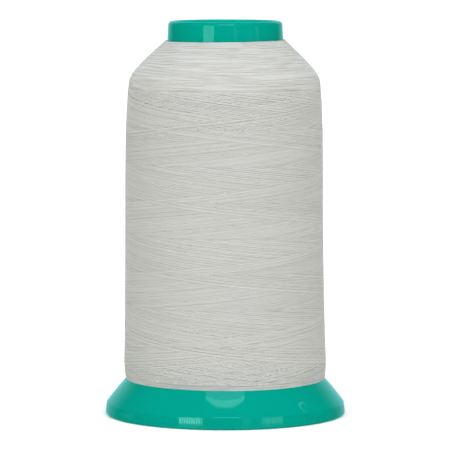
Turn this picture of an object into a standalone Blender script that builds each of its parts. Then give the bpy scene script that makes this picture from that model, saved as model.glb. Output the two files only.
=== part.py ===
"""Cone of thread: a moulded plastic spool and the thread that is wound on it.

Lengths are in metres and +Z is up. The origin is the middle of the base, on the
surface that the spool stands on. Both pieces are turned forms: each is a closed
outline in the XZ plane, carried once round the Z axis.
"""

import math
from collections import namedtuple

import bpy

MM = 0.001
SEGMENTS = 80  # flats round each turned form
SHARP_ANGLE = math.radians(40)  # edges that turn by more than this are shaded sharp
CLEARANCE = 0.3 * MM  # between the thread and the plastic

# Spool: overall height, wall and core tube
HEIGHT = 125.0 * MM
WALL = 1.8 * MM
TUBE_TOP_RADIUS = 18.05 * MM
TUBE_TAPER = math.radians(2.8)  # each side of the tube leans out by this towards the base
LIP_OUTER_ROUND = 1.2 * MM
LIP_INNER_ROUND = 0.5 * MM

# Spool: base flange, a cone that ends in a short upright rim
FOOT_RADIUS = 38.15 * MM
FOOT_EDGE_ROUND = 0.7 * MM
FOOT_EDGE_CHAMFER = 0.3 * MM  # inside edge of the foot
CREASE_RADIUS = 37.8 * MM  # where the rim turns into the cone
CREASE_HEIGHT = 3.85 * MM
CONE_SLOPE = math.radians(49.1)
CONE_BOW = 0.2 * MM  # how far the bare part of the cone swells outwards
CONE_BARE_RADIUS = 31.1 * MM  # the thread covers the cone inside this radius
FILLET_REACH = 2.5 * MM  # how far the curve between tube and cone runs along each
FILLET_STEPS = 3

# Winding: outline of the wound form, from its top edge down to its foot
Ring = namedtuple("Ring", "height_mm radius_mm")
WOUND_OUTLINE = (
    Ring(119.0, 18.9),
    Ring(118.0, 20.0),
    Ring(116.5, 21.6),
    Ring(114.0, 24.3),
    Ring(111.5, 26.7),
    Ring(109.0, 28.9),
    Ring(107.6, 29.8),
    Ring(106.0, 30.3),
    Ring(103.0, 30.6),
    Ring(98.0, 30.9),
    Ring(90.0, 31.25),
    Ring(75.0, 31.4),
    Ring(60.0, 31.45),
    Ring(45.0, 31.6),
    Ring(32.0, 31.8),
    Ring(24.0, 31.95),
    Ring(17.0, 32.2),
    Ring(13.5, 32.0),
    Ring(11.7, 31.75),
)
WOUND_LEAN = 0.3 * MM  # the middle of the winding sits this far to one side
WOUND_TILT = 0.2 * MM  # one side of the top edge stands this much higher, the other lower
WOUND_TILT_FROM = 111.5 * MM  # the shoulder is level below this height
WOUND_SKIN = 0.6 * MM  # points further than this from the plastic belong to the outer face

SPOOL_COLOUR = (0.0, 0.37, 0.27, 1.0)
THREAD_COLOUR = (0.60, 0.60, 0.57, 1.0)


def tube_radius(height):
    """Outer radius of the core tube at a height."""
    return TUBE_TOP_RADIUS + (HEIGHT - height) * math.tan(TUBE_TAPER)


def cone_height(radius):
    """Height of the flange's upper face at a radius: a straight cone, swollen where it is bare."""
    straight = CREASE_HEIGHT + (CREASE_RADIUS - radius) * math.tan(CONE_SLOPE)
    along = (CREASE_RADIUS - radius) / (CREASE_RADIUS - CONE_BARE_RADIUS)
    swell = 4 * along * (1 - along) if 0 < along < 1 else 0.0
    return straight + swell * CONE_BOW / math.cos(CONE_SLOPE)


def corner(offset):
    """Where the cone meets the tube, on a surface this far inside (below zero) or outside the plastic."""
    slope = math.tan(CONE_SLOPE)
    lift = offset / math.cos(CONE_SLOPE)
    side = offset / math.cos(TUBE_TAPER)
    tube_at_zero = tube_radius(0.0) + side
    cone_at_zero = CREASE_HEIGHT + CREASE_RADIUS * slope + lift
    radius = (tube_at_zero - cone_at_zero * math.tan(TUBE_TAPER)) / (1 - slope * math.tan(TUBE_TAPER))
    return radius, cone_at_zero - radius * slope


def arc(centre, radius, start, end, steps):
    """Points on an arc about a centre, from one angle in degrees to another."""
    angles = [math.radians(start + (end - start) * i / steps) for i in range(steps + 1)]
    return [(centre[0] + radius * math.cos(a), centre[1] + radius * math.sin(a)) for a in angles]


def rounded_corner(offset):
    """The corner of cone and tube from the tube down to the cone, eased by a curve between the two."""
    radius, height = corner(offset)
    on_tube = (
        radius - FILLET_REACH * math.sin(TUBE_TAPER),
        height + FILLET_REACH * math.cos(TUBE_TAPER),
    )
    on_cone = (
        radius + FILLET_REACH * math.cos(CONE_SLOPE),
        height - FILLET_REACH * math.sin(CONE_SLOPE),
    )
    spots = (on_tube, (radius, height), on_cone)
    points = []
    for i in range(FILLET_STEPS + 1):
        t = i / FILLET_STEPS
        weights = ((1 - t) ** 2, 2 * t * (1 - t), t**2)
        points.append(tuple(sum(w * spot[axis] for w, spot in zip(weights, spots)) for axis in (0, 1)))
    return points


def bare_cone_points(steps):
    """Points on the swollen part of the cone, from the thread's edge to the crease."""
    width = CREASE_RADIUS - CONE_BARE_RADIUS
    radii = [CONE_BARE_RADIUS + width * i / steps for i in range(steps + 1)]
    return [(radius, cone_height(radius)) for radius in radii]


def spool_outline():
    """The spool's section: down the outside, across the foot and up the inside."""
    lip = (TUBE_TOP_RADIUS - LIP_OUTER_ROUND, HEIGHT - LIP_OUTER_ROUND)
    foot_edge = (FOOT_RADIUS - FOOT_EDGE_ROUND, FOOT_EDGE_ROUND)
    outside = arc(lip, LIP_OUTER_ROUND, 90, 0, 5)
    outside += rounded_corner(0.0)
    outside += bare_cone_points(4)
    outside += arc(foot_edge, FOOT_EDGE_ROUND, 0, -90, 3)

    rim_inside = FOOT_RADIUS - WALL
    rim_top = cone_height(rim_inside) - WALL / math.cos(CONE_SLOPE)
    bore_top = tube_radius(HEIGHT) - WALL / math.cos(TUBE_TAPER)
    bore_lip = (bore_top + LIP_INNER_ROUND, HEIGHT - LIP_INNER_ROUND)
    inside = [(rim_inside + FOOT_EDGE_CHAMFER, 0.0)]
    inside.append((rim_inside, FOOT_EDGE_CHAMFER))
    inside.append((rim_inside, rim_top))
    inside += reversed(rounded_corner(-WALL))
    inside += arc(bore_lip, LIP_INNER_ROUND, 180, 90, 2)
    return outside + inside


def wound_outline():
    """The winding's section: the outer face from the table, then back along the plastic it lies on."""
    outer = [(ring.radius_mm * MM, ring.height_mm * MM) for ring in WOUND_OUTLINE]
    foot_radius = outer[-1][0]
    foot = (foot_radius, cone_height(foot_radius) + CLEARANCE / math.cos(CONE_SLOPE))
    top = outer[0][1]
    inner_top = (tube_radius(top) + CLEARANCE / math.cos(TUBE_TAPER), top)
    return outer + [foot] + list(reversed(rounded_corner(CLEARANCE))) + [inner_top]


def turned(name, outline, material):
    """An object made by carrying a closed outline once round the Z axis."""
    section = bpy.data.meshes.new(name + "_section")
    points = [(radius, 0.0, height) for radius, height in outline]
    edges = [(i, (i + 1) % len(points)) for i in range(len(points))]
    section.from_pydata(points, edges, [])
    obj = bpy.data.objects.new(name, section)
    bpy.context.scene.collection.objects.link(obj)

    screw = obj.modifiers.new("Turn", "SCREW")
    screw.axis = "Z"
    screw.angle = math.tau
    screw.steps = SEGMENTS
    screw.render_steps = SEGMENTS
    screw.use_merge_vertices = True
    screw.merge_threshold = 0.00001
    graph = bpy.context.evaluated_depsgraph_get()
    mesh = bpy.data.meshes.new_from_object(obj.evaluated_get(graph))
    obj.modifiers.clear()
    obj.data = mesh
    bpy.data.meshes.remove(section)

    mesh.name = name
    mesh.materials.append(material)
    mesh.shade_smooth()
    mesh.set_sharp_from_angle(angle=SHARP_ANGLE)
    return obj


def plastic():
    """Glossy green moulded plastic."""
    material = bpy.data.materials.new("spool_plastic")
    material.use_nodes = True
    surface = material.node_tree.nodes["Principled BSDF"]
    surface.inputs["Base Color"].default_value = SPOOL_COLOUR
    surface.inputs["Roughness"].default_value = 0.25
    surface.inputs["Metallic"].default_value = 0.0
    return material


def thread():
    """Matt off-white sewing thread."""
    material = bpy.data.materials.new("sewing_thread")
    material.use_nodes = True
    surface = material.node_tree.nodes["Principled BSDF"]
    surface.inputs["Base Color"].default_value = THREAD_COLOUR
    surface.inputs["Roughness"].default_value = 0.85
    surface.inputs["Metallic"].default_value = 0.0
    return material


def make_spool():
    """One-piece spool: flange, rim, tapered tube and collar, open right through."""
    turned("spool", spool_outline(), plastic())


def make_winding():
    """The wound form, a little off centre half way up and a little tilted at its top edge."""
    outline = wound_outline()
    mesh = turned("thread_winding", outline, thread()).data
    foot = min(height for _, height in outline)
    top = max(height for _, height in outline)
    for vertex in mesh.vertices:
        x, y, z = vertex.co
        radius = math.hypot(x, y)
        on_tube = radius < tube_radius(z) + WOUND_SKIN
        on_cone = z < cone_height(radius) + WOUND_SKIN
        if on_tube or on_cone:
            continue
        vertex.co.x -= WOUND_LEAN * math.sin(math.pi * (z - foot) / (top - foot))
        if z > WOUND_TILT_FROM:
            vertex.co.z += WOUND_TILT * (x / radius) * (z - WOUND_TILT_FROM) / (top - WOUND_TILT_FROM)


def main():
    for obj in list(bpy.data.objects):
        bpy.data.objects.remove(obj, do_unlink=True)
    make_spool()
    make_winding()


main()
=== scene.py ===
"""Looks of the cone of thread: a moulded spool and the sewing thread wound on it.

Lengths are in metres and +Z is up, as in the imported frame. The thread is laid turn by turn on
a grid of heights, so that every turn rests on the ones below it.
"""

import math
from collections import namedtuple

import bpy
import numpy as np
from bpy.props import FloatProperty, FloatVectorProperty, IntProperty, PointerProperty
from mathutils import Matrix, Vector


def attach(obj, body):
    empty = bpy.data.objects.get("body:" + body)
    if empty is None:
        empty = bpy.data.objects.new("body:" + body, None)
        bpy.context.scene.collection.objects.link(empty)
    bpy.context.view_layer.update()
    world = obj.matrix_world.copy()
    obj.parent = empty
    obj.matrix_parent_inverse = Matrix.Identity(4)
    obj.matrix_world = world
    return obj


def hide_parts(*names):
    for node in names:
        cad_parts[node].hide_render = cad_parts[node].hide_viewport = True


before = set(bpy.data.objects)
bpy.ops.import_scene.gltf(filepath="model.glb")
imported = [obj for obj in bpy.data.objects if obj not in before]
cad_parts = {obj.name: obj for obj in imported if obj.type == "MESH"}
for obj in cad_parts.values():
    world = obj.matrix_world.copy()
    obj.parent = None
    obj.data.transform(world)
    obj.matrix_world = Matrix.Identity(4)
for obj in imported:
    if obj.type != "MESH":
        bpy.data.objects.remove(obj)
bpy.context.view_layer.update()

bl_info = {
    "name": "Cone of thread",
    "version": (1, 0, 0),
    "blender": (4, 5, 0),
    "location": "View3D > Sidebar > Thread",
    "description": "Builds a moulded spool with sewing thread cross-wound on it",
    "category": "Add Mesh",
}

MM = 0.001

# ---- sizes of the spool

# Corners of its section, down the outside from the lip and back up the inside. Reach is how far
# the rounding of a corner runs along each side of it.
Corner = namedtuple("Corner", "radius_mm height_mm reach_mm")
LIP = Corner(18.05, 125.0, 1.2)
CREASE = Corner(37.8, 3.85, 0.22)  # where the flange turns into the rim
SPOOL_CORNERS = (
    LIP,
    Corner(23.15, 20.76, 2.5),  # tube meets flange, under the thread
    Corner(34.45, 8.33, 4.9),  # swell of the bare flange
    CREASE,
    Corner(38.1, 1.5, 0.4),  # the rim is nearly upright below this
    Corner(38.15, 0.0, 0.65),  # foot, outside
    Corner(36.35, 0.0, 0.3),  # foot, inside
    Corner(36.35, 2.77, 0.5),
    Corner(21.38, 20.05, 2.5),
    Corner(16.25, 125.0, 0.5),  # lip, inside
)
TUBE_TAPER = math.radians(2.8)
FLANGE_SLOPE = math.radians(49.1)
ARC_STEP = math.radians(6)  # turn of each step of a rounding
EDGE_HOLD = 0.15 * MM  # a row this far past each rounding keeps the straight beside it flat
TUBE_ROW = 6.0 * MM  # the most between rows on long straights
RIM_ROW = 0.45 * MM  # and on the rim
RIM_TOP = CREASE.height_mm * MM
RIM_INSIDE = 37.0 * MM  # the rim's outside is past this radius
SPOOL_SHARP = math.radians(16)  # edges that turn by more are shaded sharp

# Rim grain: upright grooves with a flat land between each two
RIB_POINTS = 3  # in a row of the rim: a groove's bottom and the land's two edges
GROOVE_SHARE = 0.14  # half a groove's width, as a share of the distance between grooves
GRAIN_FADE = ((0.7, 0.0), (1.2, 1.0), (3.1, 1.0), (3.6, 0.0))  # height in mm, share of the depth

# Painted glow: emission on the collar's inside, above the winding, stands in for light that comes through
# its bare wall
GLOW_COLOUR = (0.0, 0.19, 0.17, 1.0)
GLOW_HEIGHTS = (117.0, 119.5)  # mm, none below the first and all of it above the second
GLOW_RADIUS = 16.55 * MM  # it is on faces inside this radius

# Gate mark on the flange, where the plastic was let into the mould
GATE_ANGLE = math.radians(42.3)  # to the right of the viewer's side
GATE_RADIUS = 36.3 * MM
GATE_PROFILE = (  # from its middle and up from the flange, mm, and the share of painted highlight on the plastic
    (0.0, 0.003, 0.0),
    (0.5, 0.003, 0.0),
    (1.0, 0.004, 0.2),
    (1.25, 0.006, 0.9),
    (1.6, 0.006, 0.9),
    (1.9, 0.003, 0.2),
    (2.2, -0.01, 0.0),
)
GATE_COLUMNS = 40
GATE_SEAT = 0.08 * MM  # its underside lies this far inside the flange
GATE_HIGHLIGHT_TURN = math.radians(-45)  # the painted highlight on the ring is brightest opposite this angle
# Colour of the painted highlight on the gate mark's ring
GATE_HIGHLIGHT_COLOUR = (0.02, 0.36, 0.27, 1.0)

# ---- sizes of the winding

# Outline of the wound form, from its foot, a little below the solid's, to its top edge. A length
# along is measured on it, up from the foot.
Ring = namedtuple("Ring", "height_mm radius_mm")
WOUND_OUTLINE = (
    Ring(11.2, 31.64),
    Ring(11.7, 31.75),
    Ring(13.5, 32.0),
    Ring(17.0, 32.2),
    Ring(24.0, 31.95),
    Ring(32.0, 31.8),
    Ring(45.0, 31.6),
    Ring(60.0, 31.45),
    Ring(75.0, 31.4),
    Ring(90.0, 31.25),
    Ring(98.0, 30.9),
    Ring(103.0, 30.6),
    Ring(106.0, 30.3),
    Ring(107.6, 29.8),
    Ring(109.0, 28.9),
    Ring(111.5, 26.7),
    Ring(114.0, 24.3),
    Ring(116.5, 21.6),
    Ring(118.0, 20.0),
    Ring(119.0, 18.9),
)
OUTLINE_EASE = 0.7 * MM  # the outline's corners are eased over this length
WOUND_LEAN = 0.3 * MM  # the middle of the winding sits this far to one side
WOUND_SLANT = 0.15 * MM  # and its top edge this much further
WOUND_TILT = 0.2 * MM  # one side of the top edge stands this much higher, the other lower
WOUND_TILT_FROM = 111.5 * MM  # height

# Grid of heights that the thread is laid on: columns round the winding, rows along it
COLUMNS = 720
ROW = 0.05 * MM
END_MARGIN = 0.1 * MM  # no thread runs nearer to an end of the outline than this
THREAD_RISE = 0.06 * MM  # how far a crest stands above level thread that it crosses
SHOULDER_RISE = 0.02 * MM  # on the shoulder, where the thread lies closer
BED_GIVE = 0.5  # share of a height under a thread that is left once it is laid
HIGH_REACH = 5  # columns to each side over which a high spot holds the thread up
CREST_EASE = 8  # columns over which a crest is eased as it is laid
PRESS_EASE = 4  # and where later thread presses it down
ROWS_SHOWN = 2  # a thread shows where this many of its rows are on top

# Shoulder: two coats of level turns in bunches
SHOULDER_LOWEST = 91.0 * MM  # length along at which they end
SHOULDER_SPACING = 0.26 * MM
SHOULDER_COATS = (0.5, 0.0)  # where each coat starts, in turns
END_TURN = 0.15 * MM  # the outermost level turns lie this far from the ends of the outline
BUNCH_TURNS = 4.8  # turns in a bunch
BUNCH_SHIFT = 0.1 * MM  # its last turn is moved this much more than its first
BUNCH_DRIFT = 0.28  # how far bunches wander, in bunches
BUNCH_REACH = 32  # columns over which they do
BUNCH_EASE = 5  # columns over which a turn passes into the next bunch
BUNCH_FADE = (91.5 * MM, 94.0 * MM)  # lengths along between which the shift grows
BUNCH_FADE_SHARES = (0.3, 1.0)  # to its full size

# Body: strokes up and down, over a few level turns at the foot and under the closing ones
TURN_TOP = 92.9 * MM  # lengths along at which the thread turns back
TURN_LOW = 1.6 * MM
TURN_SLIP = 0.15 * MM  # spread of the places where it does
TURN_EASE = 16  # columns over which it turns back
SLIP_REACH = 250  # columns over which a slip dies away
CLIMB_TURNS = 4  # turns round the winding from one end to the other
LEAD = 70  # columns that the thread runs ahead after turning back
LEAD_REACH = 250  # columns over which it does
LAST_TOP_ANGLE = 150.0  # where the last climb ends, degrees to the right of the viewer's side
RUN_LAP = 8  # columns that each run shares with the next
GAP_SPREAD = 0.03  # spread of the distance between strokes, as a share of it
OPEN_SHARE = 0.42  # share of strokes that leave a gap beside them
OPEN_GAP = (0.07 * MM, 0.14 * MM)  # its least and most width
BODY_WAVER = (150, 0.04 * MM)  # length in columns and size of the thread's swings
LEVEL_WAVER = (30, 0.08 * MM)  # the same for level turns at the foot
FOOT_TURNS = 11
CLOSING_TURNS = 2
CLOSING_RISE = 0.0  # they press down into what they cross

# Mesh of the thread
MESH_STEP = 5  # columns from one ring of a thread's mesh to the next
THREAD_SECTION = ((1.0, -0.6), (-1.0, -0.6), (-0.82, 0.8), (0.82, 0.8))  # across and up, half sizes
SIDES = len(THREAD_SECTION)
LAYERS = 6  # pieces that the visible thread is shared out over
LEVEL_COLUMNS = 20  # heights count from a level that is eased over this many columns
LEVEL_ROWS = 8  # and this many rows
SHADE_LIFTS = (-0.043, 0.002)  # mm over the level: all in shade at the first, none at the second
TURN_LENGTH = 200.0  # once round the winding, mm

# Core of the winding, under the thread that shows. It is lower where the thread turns back.
CORE_ROWS = 90
CORE_COLUMNS = 180
CORE_DEPTHS = (  # length along and depth under the outline, mm
    (2.5, 0.13),
    (5.5, 0.22),
    (17.5, 0.22),
    (20.5, 0.14),
    (82.5, 0.14),
    (84.5, 0.2),
    (89.5, 0.2),
    (91.0, 0.1),
)
CORE_INNER_HEIGHTS = (118.6, 60.0, 24.0, 20.9, 16.0, 11.9)  # mm, of its rows along the plastic
CORE_GAP = 0.06 * MM  # between it and the plastic
CORE_SHARP = math.radians(50)

# ---- finishes

# Scales are in spots to the metre, and bumps are heights
SPECULAR_TINT = (0.32, 1.0, 0.83, 1.0)  # the plastic tints its own highlights
FLOW_SCALE = 60.0  # flow marks in the plastic's colour
TOOL_MARKS = (100.0, 40.0)  # spots to the radian round the spool and to the metre up it
DENT_SCALE = 110.0
PLASTIC_BUMP = 0.004 * MM
GLOSS_SCALE = 400.0
GLOSS_SWING = 0.02  # from the glossiest spot to the dullest
FLUFF_SCALE = 2500.0
PLY_TWISTS = 1.6  # to the mm of thread
PLIES = 3.0
THREAD_BUMP = 0.02 * MM
CORE_TONE_SCALE = 500.0
CORE_WAVER_SCALE = 90.0
CORE_WAVER = 3.0  # how far its turns waver, in turns
CORE_BUMP = 0.04 * MM
FLOOR_SCALE = 900.0
FLOOR_COLOURS = ((0.93, 0.91, 0.86, 1.0), (0.95, 0.93, 0.88, 1.0))
FLOOR_GLOW = 0.05
BLACK = (0.0, 0.0, 0.0, 1.0)
WHITE = (1.0, 1.0, 1.0, 1.0)

# ---- stage and camera

FLOOR_HALF = 15.0
WORLD_COLOUR = (0.45, 0.95, 1.05, 1.0)
WORLD_FADE = (0.56, 0.96)  # y of the direction at which the front ends and the backdrop starts

# Wide lights that aren't mirrored in the plastic: the setting with the strength of each, where
# it comes from, the angle that it fills in degrees, and its colour
Wide = namedtuple("Wide", "name setting away spread colour")
WIDE_LIGHTS = (
    Wide("sky", "sky", (0.0, 0.0, 1.0), 150, (1.0, 1.0, 0.93)),
    Wide("back_fill", "back", (0.0, 1.0, 0.5), 90, (0.85, 1.0, 1.25)),
    Wide("front_fill", "fill", (0.0, -1.0, 0.9), 90, (0.97, 1.0, 1.2)),
)

# Softboxes that are only mirrored in the plastic, and face the object: where each stands, its
# width and height, and its brightness
Lamp = namedtuple("Lamp", "name place size_x size_y radiance")
SIDE_BOXES = (
    Lamp("left_box", (-0.80, -1.21, 0.42), 0.58, 0.49, 2.8),
    Lamp("left_low_box", (-0.80, -1.21, 0.135), 0.58, 0.11, 7.8),
    Lamp("left_lowest_box", (-0.80, -1.21, -0.01), 0.58, 0.17, 1.3),
    Lamp("right_low_box", (1.05, -1.00, 0.135), 0.52, 0.11, 2.6),
    Lamp("right_lowest_box", (1.05, -1.00, -0.01), 0.52, 0.17, 0.7),
    Lamp("right_strip", (0.49, -1.36, 0.2), 0.17, 0.6, 0.45),
    Lamp("far_right_box", (1.33, -0.58, 0.27), 0.22, 0.22, 0.5),
    Lamp("front_high_box", (0.0, -0.85, 1.0), 0.5, 0.3, 5.5),
)

# The softbox overhead faces down. Towards the viewer it ends in an arc, with a brighter bow
# along it, which hangs a little lower.
TOP_HEIGHT, BOW_HEIGHT = 1.0, 0.998
TOP_BACK = -0.26
TOP_HALF_WIDTH = 0.255
TOP_RADIUS, TOP_CENTRE = 0.375, -0.037
TOP_STRIP = 0.019
TOP_RADIANCE = 1.2
BOW_RADIUS, BOW_CENTRE = 0.433, 0.044
BOW_SPAN = 36.0  # degrees to each side
BOW_PARTS = 9
BOW_DEPTHS = (0.012, 0.046)  # at its ends and in its middle
BOW_RADIANCE = 1.9
DOWN_FACING = (0.0, 0.0, 1.0)  # its back points up

# Camera, fitted to the photograph's view
CAMERA_PLACE = (-0.0001, -1.0729, 0.15726)
CAMERA_PITCH = math.radians(84.83)
CAMERA_LENS = 271.1
CAMERA_SENSOR = 36.0
CAMERA_REACH = 100.0


# ---- settings


class SpoolSettings(bpy.types.PropertyGroup):
    """Sizes and finish of the spool that a user may change."""

    ribs: IntProperty(name="Rim ribs", description="Upright ribs round the rim", default=308, min=8)
    rib_depth: FloatProperty(
        name="Rib depth", description="Depth of the grooves between ribs", default=0.09 * MM, unit="LENGTH"
    )
    colour: FloatVectorProperty(
        name="Plastic", description="Colour of the plastic", subtype="COLOR", default=(0.0, 0.290, 0.204)
    )
    roughness: FloatProperty(
        name="Roughness", description="Roughness of the moulded surface", default=0.045, subtype="FACTOR"
    )


class WindingSettings(bpy.types.PropertyGroup):
    """Thread and winding sizes that a user may change."""

    thread_width: FloatProperty(
        name="Thread width", description="Width of the laid thread", default=0.31 * MM, unit="LENGTH"
    )
    thread_height: FloatProperty(
        name="Thread height", description="Height of the laid thread", default=0.1 * MM, unit="LENGTH"
    )
    spacing: FloatProperty(
        name="Spacing", description="Distance from a turn to the next", default=0.25 * MM, unit="LENGTH"
    )
    strokes: IntProperty(
        name="Strokes", description="Times that the thread travels up and back", default=100, min=1
    )
    seed: IntProperty(name="Seed", description="Start of the random draws", default=7)
    colour: FloatVectorProperty(
        name="Thread", description="Colour of the thread", subtype="COLOR", default=(0.528, 0.526, 0.473)
    )
    # Painted shade: thread that lies low in gaps is blended towards this colour
    shade: FloatVectorProperty(
        name="Thread in gaps",
        description="Colour of the thread deep in gaps",
        subtype="COLOR",
        default=(0.40, 0.385, 0.325),
    )


class StageSettings(bpy.types.PropertyGroup):
    """Strength of the studio's lights."""

    backdrop: FloatProperty(name="Backdrop", description="Brightness behind the object", default=0.85)
    front: FloatProperty(name="Front", description="Brightness on the viewer's side", default=0.03)
    sky: FloatProperty(name="Sky", description="Strength of the wide light above", default=2.1)
    back: FloatProperty(name="Back", description="Strength of the wide light behind", default=1.1)
    fill: FloatProperty(name="Fill", description="Strength of the wide light in front", default=2.25)


# ---- materials


class Value:
    """A shader socket that takes part in sums. Each operation adds one Math node."""

    def __init__(self, recipe, socket):
        self.recipe = recipe
        self.socket = socket

    def _math(self, operation, other=0.0):
        node = self.recipe.node("ShaderNodeMath", {"operation": operation}, {0: self, 1: other})
        return Value(self.recipe, node.outputs[0])

    def __add__(self, other):
        return self._math("ADD", other)

    def __sub__(self, other):
        return self._math("SUBTRACT", other)

    def __mul__(self, other):
        return self._math("MULTIPLY", other)

    def sine(self):
        return self._math("SINE")

    def angle_to(self, other):
        return self._math("ARCTAN2", other)

    __radd__ = __add__
    __rmul__ = __mul__


class Recipe:
    """The nodes of one material, or of the world."""

    def __init__(self, owner, surface="Principled BSDF"):
        owner.use_nodes = True
        self.owner = owner
        self.tree = owner.node_tree
        self.surface = self.tree.nodes[surface]

    def node(self, kind, settings=None, inputs=None):
        """Adds a node: its settings first, then the values or links of its sockets."""
        node = self.tree.nodes.new(kind)
        for name, value in (settings or {}).items():
            setattr(node, name, value)
        self.feed(node, inputs or {})
        return node

    def feed(self, node, inputs):
        """Gives each named socket of a node its value or its link."""
        for name, value in inputs.items():
            if isinstance(value, Value):
                value = value.socket
            if isinstance(value, bpy.types.NodeSocket):
                self.tree.links.new(value, node.inputs[name])
            else:
                node.inputs[name].default_value = value

    def finish(self, inputs):
        """Feeds the surface's own sockets. Returns the material or world."""
        self.feed(self.surface, inputs)
        return self.owner

    def place(self):
        """The point's place on the object."""
        return self.node("ShaderNodeTexCoord").outputs["Object"]

    def apart(self, vector):
        """The x, y and z of a vector, as values."""
        outputs = self.node("ShaderNodeSeparateXYZ", inputs={"Vector": vector}).outputs
        return [Value(self, output) for output in outputs]

    def vector(self, x, y, z):
        return self.node("ShaderNodeCombineXYZ", inputs={0: x, 1: y, 2: z}).outputs[0]

    def attribute(self, name):
        """A number stored on the mesh's points, or 0 where the mesh has none of that name."""
        return Value(self, self.node("ShaderNodeAttribute", {"attribute_name": name}).outputs["Fac"])

    def noise(self, vector, scale):
        """Even noise from 0 to 1 over a vector, with its scale in spots per unit."""
        node = self.node("ShaderNodeTexNoise", inputs={"Vector": vector, "Scale": scale})
        return Value(self, node.outputs["Fac"])

    def blend(self, share, first, second):
        """Mixes two colours by a value from 0 to 1. A Mix node has its colour sockets last."""
        first_colour, second_colour, mixed = 6, 7, 2
        node = self.node("ShaderNodeMix", {"data_type": "RGBA"}, {"Factor": share})
        self.feed(node, {first_colour: first, second_colour: second})
        return node.outputs[mixed]

    def bump(self, height, distance):
        """Bends the surface by a height field. Distance is the height of a whole unit."""
        node = self.node("ShaderNodeBump", inputs={"Height": height, "Distance": distance})
        self.feed(self.surface, {"Normal": node.outputs[0]})


def new_recipe(name):
    return Recipe(bpy.data.materials.new(name))


def opaque(colour, share=1.0):
    """A colour with its alpha, darkened or lightened by a share."""
    return tuple(channel * share for channel in colour) + (1.0,)


def plastic_material(settings):
    """Glossy moulded plastic: faint flow marks in the colour and upright tool marks in the gloss."""
    recipe = new_recipe("glossy_green_plastic")
    place = recipe.place()
    x, y, z = recipe.apart(place)
    around, up = TOOL_MARKS
    marks = recipe.noise(recipe.vector(x.angle_to(y) * around, z * up, 0.0), 1.0)
    recipe.bump(marks * 0.7 + recipe.noise(place, DENT_SCALE) * 0.3, PLASTIC_BUMP)
    flow = recipe.noise(place, FLOW_SCALE)
    colour = recipe.blend(flow, opaque(settings.colour, 0.95), opaque(settings.colour, 1.05))
    return recipe.finish(
        {
            # painted highlight on one side of the gate mark's ring
            "Base Color": recipe.blend(recipe.attribute("blush"), colour, GATE_HIGHLIGHT_COLOUR),
            # painted glow on the collar's inside
            "Emission Color": recipe.blend(recipe.attribute("glow"), BLACK, GLOW_COLOUR),
            "Emission Strength": 1.0,
            "Roughness": settings.roughness + GLOSS_SWING * (recipe.noise(place, GLOSS_SCALE) - 0.5),
            "Specular IOR Level": 0.45,
            "Specular Tint": SPECULAR_TINT,
        }
    )


def thread_material(settings):
    """Matt plied thread. Its tone changes from run to run, and where it lies low in gaps it is painted
    darker, as painted shade.
    """
    recipe = new_recipe("off_white_thread")
    length, round_it, _ = recipe.apart(recipe.node("ShaderNodeUVMap", {"uv_map": "along_thread"}).outputs[0])
    fluff = recipe.noise(recipe.place(), FLUFF_SCALE)
    plies = ((length * PLY_TWISTS + round_it * PLIES) * math.tau).sine()
    recipe.bump(plies * 0.5 + fluff, THREAD_BUMP)
    tone = recipe.attribute("tone") * 0.7 + fluff * 0.3
    raised = recipe.blend(tone, opaque(settings.colour, 0.95), opaque(settings.colour, 1.06))
    return recipe.finish(
        {
            # painted shade where the thread lies below the level
            "Base Color": recipe.blend(recipe.attribute("lift"), opaque(settings.shade), raised),
            "Roughness": 0.8,
            "Specular IOR Level": 0.3,
            "Sheen Weight": 0.15,
            "Sheen Roughness": 0.5,
        }
    )


def core_material(settings):
    """The thread seen through gaps: close level turns with a random tone, all painted a little darker than
    the outside as painted shade.
    """
    recipe = new_recipe("thread_in_gaps")
    place = recipe.place()
    _, _, z = recipe.apart(place)
    waver = recipe.noise(place, CORE_WAVER_SCALE)
    turns = ((z * (1 / settings.spacing) + waver * CORE_WAVER) * math.tau).sine()
    recipe.bump(turns, CORE_BUMP)
    tone = recipe.noise(place, CORE_TONE_SCALE)
    # random tone, and painted shade: all of it darker than the thread outside
    colour = recipe.blend(tone, opaque(settings.colour, 0.86), opaque(settings.colour, 0.98))
    return recipe.finish({"Base Color": colour, "Roughness": 0.9, "Specular IOR Level": 0.2})


def floor_material():
    """Smooth white table, lit a little from below, with hardly any gloss."""
    recipe = new_recipe("white_table")
    return recipe.finish(
        {
            "Base Color": recipe.blend(recipe.noise(recipe.place(), FLOOR_SCALE), *FLOOR_COLOURS),
            "Roughness": 0.9,
            "Specular IOR Level": 0.1,
            "Emission Color": WHITE,
            "Emission Strength": FLOOR_GLOW,
        }
    )


# ---- meshes


def linked(name, data):
    """A new object in the scene."""
    thing = bpy.data.objects.new(name, data)
    bpy.context.scene.collection.objects.link(thing)
    return thing


def new_piece(name, points, faces, material):
    """An object on the root body, from an array of points and one or more arrays of faces."""
    mesh = bpy.data.meshes.new(name)
    mesh.from_pydata(points.tolist(), [], [face for group in faces for face in group.tolist()])
    mesh.materials.append(material)
    mesh.shade_smooth()
    mesh.update()
    piece = linked(name, mesh)
    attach(piece, "root")
    return piece


def set_numbers(mesh, name, values):
    """Stores a number on each point of a mesh."""
    mesh.attributes.new(name, "FLOAT", "POINT").data.foreach_set("value", values)


def round_z(radius, angle, height):
    """Points round Z, with angles to the right of the viewer's side: x = radius * sin(angle),
    y = -radius * cos(angle), z = height."""
    parts = np.broadcast_arrays(radius * np.sin(angle), -radius * np.cos(angle), height)
    return np.stack(parts, axis=-1)


def joined(*corners):
    """Faces, from an array of points for each of their corners."""
    return np.stack(corners, axis=-1).reshape(-1, len(corners))


def closed_grid_faces(rows, columns):
    """Faces of a grid whose last row joins its first and whose last column joins its first."""
    number = np.arange(rows * columns).reshape(rows, columns)
    beside = np.roll(number, -1, axis=1)
    return joined(number, np.roll(number, -1, axis=0), np.roll(beside, -1, axis=0), beside)


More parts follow.
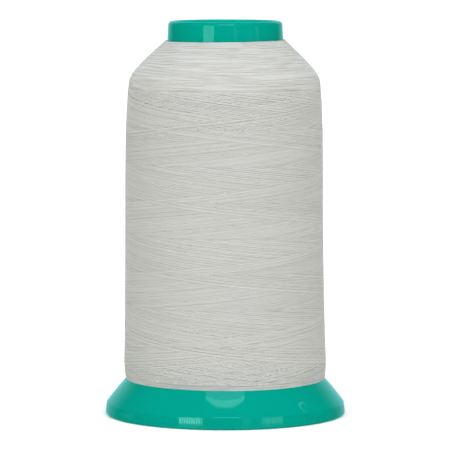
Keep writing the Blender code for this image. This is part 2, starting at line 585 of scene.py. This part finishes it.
def eased(values, width):
    """A row of values smoothed by a bell curve, with its ends carried on straight."""
    reach = int(3 * width)
    steps = np.arange(1, reach + 1)
    head = values[0] - (values[1] - values[0]) * steps[::-1]
    tail = values[-1] + (values[-1] - values[-2]) * steps
    weights = np.exp(-0.5 * (np.arange(-reach, reach + 1) / width) ** 2)
    return np.convolve(np.concatenate([head, values, tail]), weights / weights.sum(), "valid")


# ---- spool


def on_rim(spot):
    """True on the outside of the rim."""
    return spot[1] < RIM_TOP and spot[0] > RIM_INSIDE


def spool_section():
    """The spool's section: a closed outline, each corner rounded by an arc tangent to both its sides.

    An arc of turn a with end points A and B and corner P is the rational curve
    ((1-t)^2 A + 2 w t (1-t) P + t^2 B) / ((1-t)^2 + 2 w t (1-t) + t^2), with w = cos(a / 2).
    """
    spots = np.array([(corner.radius_mm, corner.height_mm) for corner in SPOOL_CORNERS]) * MM
    before = np.roll(spots, 1, axis=0)
    after = np.roll(spots, -1, axis=0)
    points = []
    for corner, spot, last, following in zip(SPOOL_CORNERS, spots, before, after):
        into = (spot - last) / np.linalg.norm(spot - last)
        out = (following - spot) / np.linalg.norm(following - spot)
        turn = math.acos(np.clip(into @ out, -1, 1))
        steps = max(2, math.ceil(turn / ARC_STEP))
        start = spot - into * corner.reach_mm * MM
        end = spot + out * corner.reach_mm * MM
        t = np.linspace(0, 1, steps + 1)[:, None]
        middle = 2 * math.cos(turn / 2) * t * (1 - t)
        arc = ((1 - t) ** 2 * start + middle * spot + t**2 * end) / ((1 - t) ** 2 + middle + t**2)
        points += [start - into * EDGE_HOLD, *arc, end + out * EDGE_HOLD]
    return with_rows(np.array(points))


def with_rows(points):
    """Splits the straights of a closed outline so that none is longer than is allowed there."""
    parts = []
    for first, second in zip(points, np.roll(points, -1, axis=0)):
        longest = RIM_ROW if on_rim(first) and on_rim(second) else TUBE_ROW
        steps = max(1, math.ceil(np.linalg.norm(second - first) / longest))
        parts.append(first + (second - first) * (np.arange(steps) / steps)[:, None])
    return np.concatenate(parts)


def spool_points(settings):
    """The spool's section turned round Z. Rows on the rim have a groove's bottom and a land's two
    edges at each rib, and the others only the groove's angle. Returns points and faces."""
    ribs = settings.ribs
    coarse = np.arange(ribs) * math.tau / ribs
    shares = np.array([0.0, GROOVE_SHARE, 1.0 - GROOVE_SHARE])
    fine = ((np.arange(ribs)[:, None] + shares) * math.tau / ribs).ravel()
    in_groove = np.tile([1.0, 0.0, 0.0], ribs)
    section = spool_section()
    fine_rows = [on_rim(spot) for spot in section]
    rows = []
    for (radius, height), is_fine in zip(section, fine_rows):
        depth = settings.rib_depth * np.interp(height / MM, *np.array(GRAIN_FADE).T)
        grooved = round_z(radius - depth * in_groove, fine, height)
        rows.append(grooved if is_fine else round_z(radius, coarse, height))
    starts = np.concatenate([[0], np.cumsum([len(row) for row in rows])])
    faces = []
    for i, is_fine in enumerate(fine_rows):
        j = (i + 1) % len(rows)
        faces.append(band_faces(starts[i], is_fine, starts[j], fine_rows[j], ribs))
    return np.concatenate(rows), faces


def band_faces(first, first_fine, second, second_fine, ribs):
    """Faces between two rows of the spool. A coarse row has one point for each rib, and one face
    for each rib joins it to any row."""
    both_fine = first_fine and second_fine
    count = ribs * RIB_POINTS if both_fine else ribs
    column = np.arange(count)[:, None]

    def spots(start, fine):
        """A row's points along each face, from its left end to its right end."""
        if fine and not both_fine:
            return start + (column * RIB_POINTS + np.arange(RIB_POINTS + 1)) % (ribs * RIB_POINTS)
        return start + (column + np.arange(2)) % count

    return np.concatenate([spots(second, second_fine), spots(first, first_fine)[:, ::-1]], axis=1)


def inside_glow(points):
    """Share of the painted glow: 1 inside the collar's bare part, easing to 0 below it, and 0 on the
    outside.
    """
    inside = np.hypot(points[:, 0], points[:, 1]) < GLOW_RADIUS
    low, high = GLOW_HEIGHTS
    return inside * np.clip((points[:, 2] / MM - low) / (high - low), 0, 1)


class THREADCONE_OT_spool(bpy.types.Operator):
    """Make the one-piece spool, with its flange, grained rim, collar and open bore"""

    bl_idname = "threadcone.spool"
    bl_label = "Make spool"

    def execute(self, context):
        settings = context.scene.threadcone_spool
        points, faces = spool_points(settings)
        piece = new_piece("moulded_spool", points, faces, plastic_material(settings))
        piece.data.set_sharp_from_angle(angle=SPOOL_SHARP)
        set_numbers(piece.data, "glow", inside_glow(points))
        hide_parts("spool")
        return {"FINISHED"}


def flange_height(radius):
    """Height of the flange's face at a radius, on the outside of the rounded outline."""
    section = spool_section()
    outside = section[: section[:, 0].argmax()]
    return np.interp(radius, outside[:, 0], outside[:, 1])


def gate_points(across, lift, turn):
    """A low ring that follows the flange: a spot u sideways and v up the slope of its middle is at
    the radius R = R0 - v * cos(slope) and the angle A0 + u / R, and stands lift above the face.
    The first row is a single point, and the last point closes the underside."""
    across = np.append(across, 0.0)[:, None]
    lift = np.append(lift, -GATE_SEAT)[:, None]
    radius = GATE_RADIUS - across * np.sin(turn) * math.cos(FLANGE_SLOPE)
    angle = GATE_ANGLE + across * np.cos(turn) / radius
    height = flange_height(radius) + lift * math.cos(FLANGE_SLOPE)
    points = round_z(radius + lift * math.sin(FLANGE_SLOPE), angle, height)
    return np.concatenate([points[0, :1], points[1:-1].reshape(-1, 3), points[-1, :1]])


def gate_faces(rings, columns):
    """Triangles round the two poles and four-sided faces between the rings."""
    number = 1 + np.arange(rings * columns).reshape(rings, columns)
    beside = np.roll(number, -1, axis=1)
    cap = joined(np.zeros(columns, int), number[0], beside[0])
    base = joined(np.full(columns, rings * columns + 1), beside[-1], number[-1])
    return [cap, joined(number[:-1], number[1:], beside[1:], beside[:-1]), base]


class THREADCONE_OT_gate_mark(bpy.types.Operator):
    """Make the small round gate mark on the flange"""

    bl_idname = "threadcone.gate_mark"
    bl_label = "Make gate mark"

    def execute(self, context):
        across, lift, highlight_share = np.array(GATE_PROFILE).T
        turn = np.arange(GATE_COLUMNS) * math.tau / GATE_COLUMNS
        points = gate_points(across * MM, lift * MM, turn)
        faces = gate_faces(len(across) - 1, GATE_COLUMNS)
        material = bpy.data.materials["glossy_green_plastic"]
        piece = new_piece("gate_mark", points, faces, material)
        # Painted highlight: one side of the ring is painted paler, where a glint would show
        share = 0.5 - 0.5 * np.cos(turn - GATE_HIGHLIGHT_TURN)
        blush = (highlight_share[1:, None] * share).ravel()
        set_numbers(piece.data, "blush", np.concatenate([[0.0], blush, [0.0]]))
        return {"FINISHED"}


# ---- winding


class WoundForm:
    """The outer face of the winding: a point for each angle, length along the outline and lift."""

    def __init__(self):
        heights, radii = np.array(WOUND_OUTLINE).T * MM
        steps = np.hypot(np.diff(heights), np.diff(radii))
        marks = np.concatenate([[0], np.cumsum(steps)])
        self.along = np.arange(0, marks[-1], ROW)
        self.length = self.along[-1]
        self.height = eased(np.interp(self.along, marks, heights), OUTLINE_EASE / ROW)
        self.radius = eased(np.interp(self.along, marks, radii), OUTLINE_EASE / ROW)
        rise, spread = np.gradient(self.height), np.gradient(self.radius)
        size = np.hypot(rise, spread)
        self.out_radius, self.out_height = rise / size, -spread / size

    def at(self, values, along):
        return np.interp(along, self.along, values)

    def points(self, angle, along, lift):
        """Turned outline plus lift along its outward direction, then the lean and tilt of the real
        winding: x moves aside by lean * sin(pi t) + slant * t over the height, and the top edge
        tilts by tilt * x / r."""
        radius = self.at(self.radius, along) + lift * self.at(self.out_radius, along)
        height = self.at(self.height, along) + lift * self.at(self.out_height, along)
        low, high = WOUND_OUTLINE[0].height_mm * MM, WOUND_OUTLINE[-1].height_mm * MM
        share = np.clip((height - low) / (high - low), 0, 1)
        above = np.clip((height - WOUND_TILT_FROM) / (high - WOUND_TILT_FROM), 0, 1)
        points = round_z(radius, angle, height + WOUND_TILT * np.sin(angle) * above)
        points[..., 0] -= WOUND_LEAN * np.sin(math.pi * share) + WOUND_SLANT * share
        return points


def core_inside(height):
    """Radius just outside the plastic at a height: on the tube, or on the flange lower down."""
    tube = LIP.radius_mm * MM + (LIP.height_mm * MM - height) * math.tan(TUBE_TAPER)
    flange = CREASE.radius_mm * MM - (height - CREASE.height_mm * MM) / math.tan(FLANGE_SLOPE)
    return np.maximum(tube, flange) + CORE_GAP


class THREADCONE_OT_winding_core(bpy.types.Operator):
    """Make the body of the winding, which shows in the gaps between turns"""

    bl_idname = "threadcone.winding_core"
    bl_label = "Make winding core"

    def execute(self, context):
        form = WoundForm()
        along = np.linspace(END_MARGIN, form.length - END_MARGIN, CORE_ROWS)
        angles = np.arange(CORE_COLUMNS) * math.tau / CORE_COLUMNS
        depth = np.interp(along / MM, *np.array(CORE_DEPTHS).T)[:, None] * MM
        outer = form.points(*np.broadcast_arrays(angles[None, :], along[:, None], -depth))
        height = np.array(CORE_INNER_HEIGHTS)[:, None] * MM
        inner = round_z(core_inside(height), angles, height)
        grid = np.concatenate([outer, inner])[::-1]
        faces = closed_grid_faces(len(grid), CORE_COLUMNS)
        material = core_material(context.scene.threadcone_winding)
        piece = new_piece("winding_core", grid.reshape(-1, 3), [faces], material)
        piece.data.set_sharp_from_angle(angle=CORE_SHARP)
        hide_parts("thread_winding")
        return {"FINISHED"}


# A stretch of thread, with the number of each of its spots
Run = namedtuple("Run", "column along number")


class Package:
    """The thread laid so far: its height at each column and row, and the number of its spot there."""

    def __init__(self, form, settings):
        self.form = form
        self.rows = len(form.along)
        self.top = np.zeros((COLUMNS, self.rows))
        self.owner = np.full((COLUMNS, self.rows), -1)
        self.half_width = settings.thread_width / 2
        self.half_height = settings.thread_height / 2
        reach = int(self.half_width / ROW)
        self.offsets = np.arange(-reach, reach + 2)
        self.runs = []
        self.count = 0

    def footprint(self, column, along):
        """The grid spots under a run of thread and how far its round top drops there below its
        crest: half height * (1 - sqrt(1 - (distance / half width)^2))."""
        row = np.floor(along / ROW).astype(int)[:, None] + self.offsets
        aside = (row * ROW - along[:, None]) / self.half_width
        covered = (np.abs(aside) < 1) & (row >= 0) & (row < self.rows)
        drop = self.half_height * (1 - np.sqrt(np.clip(1 - aside**2, 0, 1)))
        spot = np.broadcast_to((column % COLUMNS)[:, None], row.shape)
        return spot, np.clip(row, 0, self.rows - 1), drop, covered

    def lay(self, column, along, rise=THREAD_RISE):
        """Lays a run over what is there. The highest spot under it gives way, so that its crest is
        at highest * give + rise, and its pull carries it straight from one high spot to the next."""
        along = np.clip(along, END_MARGIN, self.form.length - END_MARGIN)
        spot, row, drop, covered = self.footprint(column, along)
        highest = np.where(covered, self.top[spot, row], -1).max(axis=1)
        crest = eased(highest_near(highest, HIGH_REACH), CREST_EASE) * BED_GIVE + rise
        number = self.count + np.arange(len(column))
        under = spot[covered], row[covered]
        self.top[under] = (crest[:, None] - drop)[covered]
        self.owner[under] = np.broadcast_to(number[:, None], row.shape)[covered]
        self.runs.append(Run(column, along, number))
        self.count += len(column)

    def shows(self, run):
        """True where a run is on top in enough of the rows that it covers."""
        spot, row, _, covered = self.footprint(run.column, run.along)
        own = covered & (self.owner[spot, row] == run.number[:, None])
        return own.sum(axis=1) >= ROWS_SHOWN

    def crest(self, run):
        """The height of a run's crest, pressed down until nothing of it is above the thread over it."""
        spot, row, drop, covered = self.footprint(run.column, run.along)
        room = np.where(covered, self.top[spot, row] + drop, 1.0).min(axis=1)
        return eased(-highest_near(-room, HIGH_REACH), PRESS_EASE)

    def layers(self):
        """The runs shared out, innermost first, so that about as much thread shows in each layer."""
        shown = np.array([self.shows(run).sum() for run in self.runs])
        before = np.cumsum(shown) - shown
        layer = np.minimum(before * LAYERS // shown.sum(), LAYERS - 1)
        for number in range(LAYERS):
            yield [run for run, place in zip(self.runs, layer) if place == number]


def highest_near(values, reach):
    """The highest of each value and its neighbours."""
    padded = np.pad(values, reach, mode="edge")
    return np.max([padded[i : i + len(values)] for i in range(2 * reach + 1)], axis=0)


def level_of(heights, columns, rows):
    """The heights smoothed by a bell curve this wide: each wave of frequencies f and g is damped
    by exp(-2 pi^2 ((columns * f)^2 + (rows * g)^2))."""
    around = np.fft.fftfreq(heights.shape[0])[:, None]
    padded = np.concatenate([heights, heights[:, ::-1]], axis=1)
    along = np.fft.rfftfreq(padded.shape[1])[None, :]
    damping = np.exp(-2 * (math.pi**2) * ((around * columns) ** 2 + (along * rows) ** 2))
    smooth = np.fft.irfft2(np.fft.rfft2(padded) * damping, s=padded.shape)
    return smooth[:, : heights.shape[1]]


def waver(draw, count, reach, size):
    """A random swing along a run, size * n^3 / (1 + |n|^3), where n is slow noise of deviation 1
    and reach its length in columns. The thread is straight for the most part, with a gap here and
    there."""
    noise = eased(draw.normal(0, 1, count), reach) * math.sqrt(2 * math.sqrt(math.pi) * reach)
    return size * noise**3 / (1 + np.abs(noise) ** 3)


def lay_level(package, spacing, turns, draw, rise):
    """Level turns at the foot, each one spacing above the last, with a slow waver."""
    column = np.arange(turns * COLUMNS) + COLUMNS // 2
    climb = (column - column[0]) / COLUMNS * spacing
    package.lay(column, END_TURN + climb + waver(draw, len(column), *LEVEL_WAVER), rise)


def lay_shoulder(package, draw):
    """The shoulder: two coats of level turns, laid from the top edge down. They lie in bunches,
    with a fine groove between two: each spot is moved along by
    bunch shift * (fraction(turns / bunch turns + drift) - 1/2), drift being slow noise over the
    shoulder. Below its edge the grooves are finer."""
    top = package.form.length - END_TURN
    turns = round((top - SHOULDER_LOWEST) / SHOULDER_SPACING)
    column = np.arange(turns * COLUMNS)
    drift = level_of(draw.normal(0, 1, (COLUMNS, turns)), BUNCH_REACH, BUNCH_TURNS / 2)
    drift *= BUNCH_DRIFT / drift.std()
    for coat in SHOULDER_COATS:
        turn = column / COLUMNS + coat
        along = top - turn * SHOULDER_SPACING
        place = turn / BUNCH_TURNS + drift[column % COLUMNS, column // COLUMNS]
        shift = eased(place % 1 - 0.5, BUNCH_EASE) * np.interp(along, BUNCH_FADE, BUNCH_FADE_SHARES)
        package.lay(column + COLUMNS // 2, along + shift * BUNCH_SHIFT, SHOULDER_RISE)


def lay_strokes(package, settings, draw):
    """The cross-wound body: the thread climbs and falls in turn, each time a little further round,
    so that it lies beside the last stroke. A stroke leaves a gap each time that a sum of random
    steps passes a whole number. Where the thread turns back it slips by a random length, which
    dies away as exp(-t / slip reach), and from there its height goes with
    t + lead * (1 - exp(-t / lead reach))."""
    pitch = (TURN_TOP - TURN_LOW) / CLIMB_TURNS
    gaps = np.repeat(settings.spacing / 2 * (1.0 + draw.normal(0, GAP_SPREAD, settings.strokes)), 2)
    opens = np.diff(np.floor(np.cumsum(draw.uniform(0, 2 * OPEN_SHARE, settings.strokes + 1))))
    gaps[::2] += draw.uniform(*OPEN_GAP, settings.strokes) * opens
    shifts = gaps / pitch * COLUMNS
    turns = np.concatenate([[0], np.cumsum(CLIMB_TURNS * COLUMNS - shifts)]).round().astype(int)
    turns += round(LAST_TOP_ANGLE / 360 * COLUMNS) - turns[-2]
    heights = np.where(np.arange(len(turns)) % 2, TURN_TOP, TURN_LOW)
    slips = draw.normal(0, TURN_SLIP, len(turns))
    column = np.arange(turns[0], turns[-1])
    last = np.searchsorted(turns, column, side="right") - 1
    since, whole = column - turns[last], turns[last + 1] - turns[last]
    share = (since + LEAD * (1 - np.exp(-since / LEAD_REACH))) / (whole + LEAD)
    along = heights[last] + (heights[last + 1] - heights[last]) * share
    before = slips[last] * np.exp(-since / SLIP_REACH)
    after = slips[last + 1] * np.exp((since - whole) / SLIP_REACH)
    along = eased(along + (before + after), TURN_EASE) + waver(draw, len(along), *BODY_WAVER)
    for start, end in zip(turns[:-1:2] - turns[0], turns[2::2] - turns[0]):
        run = slice(start, end + RUN_LAP)
        package.lay(column[run], along[run])


# Rings of the thread's mesh. First and last tell where a stretch of thread starts and ends.
Rings = namedtuple("Rings", "column along lift tone first last")


def rings_that_show(package, runs, level, draw):
    """Rings at every few columns of the parts of runs that show, each run with a random tone."""
    parts = []
    for run in runs:
        shown = package.shows(run)
        pick = np.flatnonzero(run.column % MESH_STEP == 0)
        near = np.array([shown[max(0, i - MESH_STEP) : i + MESH_STEP + 1].any() for i in pick])
        pick = pick[near]
        if len(pick) < 2:
            continue
        column = run.column[pick]
        along = run.along[pick]
        row = np.clip((along / ROW).astype(int), 0, package.rows - 1)
        lift = package.crest(run)[pick] - level[column % COLUMNS, row]
        tone = np.full(len(pick), draw.random())
        first = np.concatenate([[True], np.diff(column) > MESH_STEP])
        parts.append((column, along, lift, tone, first))
    column, along, lift, tone, first = (np.concatenate(part) for part in zip(*parts))
    last = np.append(first[1:], True)
    alone = first & last
    return Rings(*(values[~alone] for values in (column, along, lift, tone, first, last)))


def thread_mesh(package, rings):
    """Closed tubes through the rings. A corner is the wound form's point at
    along + across * half width and lift + (up - 1) * half height. Returns points, walls, ends, and
    for each corner of a wall its shares of the way round and along the winding."""
    across, up = np.array(THREAD_SECTION).T
    angle = (rings.column * math.tau / COLUMNS)[:, None]
    wide = rings.along[:, None] + across * package.half_width
    high = rings.lift[:, None] + (up - 1) * package.half_height
    points = package.form.points(np.broadcast_to(angle, wide.shape), wide, high)
    here = np.flatnonzero(~rings.last)
    turn = (rings.column[here] % COLUMNS) / COLUMNS
    walls, marks = [], []
    for side in range(SIDES):
        ahead = np.array([0, 0, 1, 1])
        corner = np.array([side, side + 1, side + 1, side]) % SIDES
        ring = here[:, None] + ahead
        walls.append(ring * SIDES + corner)
        round_it = turn[:, None] + ahead * (MESH_STEP / COLUMNS)
        marks.append(np.stack([round_it, wide[ring, corner] / package.form.length], axis=-1))
    corner = np.arange(SIDES)
    starts = np.flatnonzero(rings.first)[:, None] * SIDES + corner[::-1]
    ends = np.flatnonzero(rings.last)[:, None] * SIDES + corner
    caps = np.concatenate([starts, ends])
    return points.reshape(-1, 3), np.concatenate(walls), caps, np.concatenate(marks)


def dress_thread(mesh, marks, rings):
    """Gives the thread its map for baking, its map along the thread, its tone, and how far it is clear of
    the painted shade, stored as lift.
    """
    side = np.arange(SIDES).repeat(len(marks) // SIDES)
    round_it = np.stack([side, side + 1, side + 1, side], axis=1) / SIDES
    along_thread = np.stack([marks[:, :, 0] * TURN_LENGTH, round_it], axis=-1)
    for name, spots in (("OFBake", np.clip(marks, 0, 1)), ("along_thread", along_thread)):
        corners = np.zeros((len(mesh.loops), 2))
        corners[: spots.size // 2] = spots.reshape(-1, 2)
        mesh.uv_layers.new(name=name).data.foreach_set("uv", corners.ravel())
    # Painted shade: 0 where the thread lies deep below the level, 1 where it is up at the level
    lift = np.interp(rings.lift / MM, SHADE_LIFTS, (0.0, 1.0))
    for name, values in (("tone", rings.tone), ("lift", lift)):
        set_numbers(mesh, name, np.repeat(values, SIDES))


class THREADCONE_OT_wound_thread(bpy.types.Operator):
    """Lay the thread turn by turn and make the turns that show"""

    bl_idname = "threadcone.wound_thread"
    bl_label = "Lay thread"

    def execute(self, context):
        settings = context.scene.threadcone_winding
        draw = np.random.default_rng(settings.seed)
        package = Package(WoundForm(), settings)
        lay_shoulder(package, draw)
        lay_level(package, settings.spacing, FOOT_TURNS, draw, THREAD_RISE)
        lay_strokes(package, settings, draw)
        lay_level(package, settings.spacing, CLOSING_TURNS, draw, CLOSING_RISE)
        level = level_of(package.top, LEVEL_COLUMNS, LEVEL_ROWS)
        material = thread_material(settings)
        for number, runs in enumerate(package.layers(), 1):
            rings = rings_that_show(package, runs, level, draw)
            points, walls, caps, marks = thread_mesh(package, rings)
            piece = new_piece(f"thread_layer_{number}", points, [walls, caps], material)
            dress_thread(piece.data, marks, rings)
            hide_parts("thread_winding")
        return {"FINISHED"}


# ---- stage


class THREADCONE_OT_stage(bpy.types.Operator):
    """Set up the pale floor, the studio lights and the camera"""

    bl_idname = "threadcone.stage"
    bl_label = "Set stage"

    def execute(self, context):
        settings = context.scene.threadcone_stage
        set_floor()
        set_world(settings)
        set_lights(settings)
        set_overhead()
        set_camera(context.scene)
        context.scene.view_settings.view_transform = "Standard"
        return {"FINISHED"}


def set_floor():
    """A wide table, which the plastic doesn't mirror."""
    half = FLOOR_HALF
    corners = [(-half, -half, 0), (half, -half, 0), (half, half, 0), (-half, half, 0)]
    mesh = bpy.data.meshes.new("floor")
    mesh.from_pydata(corners, [], [(0, 1, 2, 3)])
    mesh.materials.append(floor_material())
    floor = linked("floor", mesh)
    floor.visible_glossy = False


def set_world(settings):
    """Dim in front and bright behind: it eases up with the direction's y. It lights nothing matt."""
    world = bpy.data.worlds.new("studio")
    bpy.context.scene.world = world
    recipe = Recipe(world, "Background")
    _, y, _ = recipe.apart(recipe.node("ShaderNodeTexCoord").outputs["Generated"])
    start, end = WORLD_FADE
    limits = {"From Min": start, "From Max": end, "To Min": settings.front, "To Max": settings.backdrop}
    fade = recipe.node("ShaderNodeMapRange", {"interpolation_type": "SMOOTHSTEP"}, {"Value": y, **limits})
    recipe.finish({"Strength": fade.outputs[0], "Color": WORLD_COLOUR})
    world.cycles_visibility.diffuse = False


def set_lights(settings):
    """The wide lights, and the softboxes round the object."""
    for wide in WIDE_LIGHTS:
        sun = bpy.data.lights.new(wide.name, "SUN")
        sun.angle = math.radians(wide.spread)
        sun.energy = getattr(settings, wide.setting)
        sun.color = wide.colour
        add_light(sun, wide.away, wide.away).visible_glossy = False
    for lamp in SIDE_BOXES:
        add_softbox(lamp, lamp.place)


def set_overhead():
    """The softbox overhead, in strips up to 2 * sqrt(radius^2 - (y - centre)^2) wide. The depth of
    the bow falls off with the square of the angle."""
    for y in np.arange(TOP_BACK, TOP_CENTRE - TOP_RADIUS, -TOP_STRIP):
        half = min(TOP_HALF_WIDTH, math.sqrt(TOP_RADIUS**2 - (y - TOP_CENTRE) ** 2))
        place = (0.0, y - TOP_STRIP / 2, TOP_HEIGHT)
        add_softbox(Lamp("overhead", place, 2 * half, TOP_STRIP, TOP_RADIANCE), DOWN_FACING)
    step = 2 * BOW_SPAN / BOW_PARTS
    shallow, deep = BOW_DEPTHS
    for turn in np.arange(-BOW_SPAN + step / 2, BOW_SPAN, step):
        angle = math.radians(turn)
        place = (BOW_RADIUS * math.sin(angle), BOW_CENTRE - BOW_RADIUS * math.cos(angle), BOW_HEIGHT)
        depth = deep - (deep - shallow) * (turn / BOW_SPAN) ** 2
        lamp = Lamp("overhead_bow", place, BOW_RADIUS * math.radians(step), depth, BOW_RADIANCE)
        add_softbox(lamp, DOWN_FACING).rotation_euler.z = angle


def add_softbox(lamp, away):
    """An area light that is mirrored but lights nothing matt."""
    light = bpy.data.lights.new(lamp.name, "AREA")
    light.shape = "RECTANGLE"
    light.size = lamp.size_x
    light.size_y = lamp.size_y
    light.energy = lamp.radiance * math.pi * lamp.size_x * lamp.size_y
    box = add_light(light, lamp.place, away)
    box.visible_diffuse = False
    return box


def add_light(light, place, away):
    """Adds a light whose back points along a vector, out of the camera's sight."""
    lamp = linked(light.name, light)
    lamp.location = place
    lamp.rotation_euler = Vector(away).to_track_quat("Z", "Y").to_euler()
    lamp.visible_camera = False
    return lamp


def set_camera(scene):
    """The camera in front of the object, looking a little down."""
    data = bpy.data.cameras.new("camera")
    data.lens = CAMERA_LENS
    data.sensor_width = CAMERA_SENSOR
    data.clip_end = CAMERA_REACH
    camera = linked("camera", data)
    camera.location = CAMERA_PLACE
    camera.rotation_euler = (CAMERA_PITCH, 0.0, 0.0)
    scene.camera = camera


# ---- add-on


class THREADCONE_PT_panel(bpy.types.Panel):
    """Sidebar panel with the settings and the steps that build the cone of thread."""

    bl_idname = "THREADCONE_PT_panel"
    bl_label = "Cone of thread"
    bl_space_type = "VIEW_3D"
    bl_region_type = "UI"
    bl_category = "Thread"

    def draw(self, context):
        for group, _ in GROUPS:
            settings = getattr(context.scene, group)
            for name in settings.bl_rna.properties.keys():
                if name not in ("rna_type", "name"):
                    self.layout.prop(settings, name)
        for operator in OPERATORS:
            self.layout.operator(operator.bl_idname)


GROUPS = (
    ("threadcone_spool", SpoolSettings),
    ("threadcone_winding", WindingSettings),
    ("threadcone_stage", StageSettings),
)
OPERATORS = (
    THREADCONE_OT_spool,
    THREADCONE_OT_gate_mark,
    THREADCONE_OT_winding_core,
    THREADCONE_OT_wound_thread,
    THREADCONE_OT_stage,
)


def register():
    for name, group in GROUPS:
        bpy.utils.register_class(group)
        setattr(bpy.types.Scene, name, PointerProperty(type=group))
    for operator in OPERATORS:
        bpy.utils.register_class(operator)
    bpy.utils.register_class(THREADCONE_PT_panel)


def unregister():
    bpy.utils.unregister_class(THREADCONE_PT_panel)
    for operator in reversed(OPERATORS):
        bpy.utils.unregister_class(operator)
    for name, group in reversed(GROUPS):
        delattr(bpy.types.Scene, name)
        bpy.utils.unregister_class(group)


def main():
    """Registers the add-on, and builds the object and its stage."""
    register()
    bpy.ops.threadcone.spool()
    bpy.ops.threadcone.gate_mark()
    bpy.ops.threadcone.winding_core()
    bpy.ops.threadcone.wound_thread()
    bpy.ops.threadcone.stage()


if __name__ == "__main__":
    main()
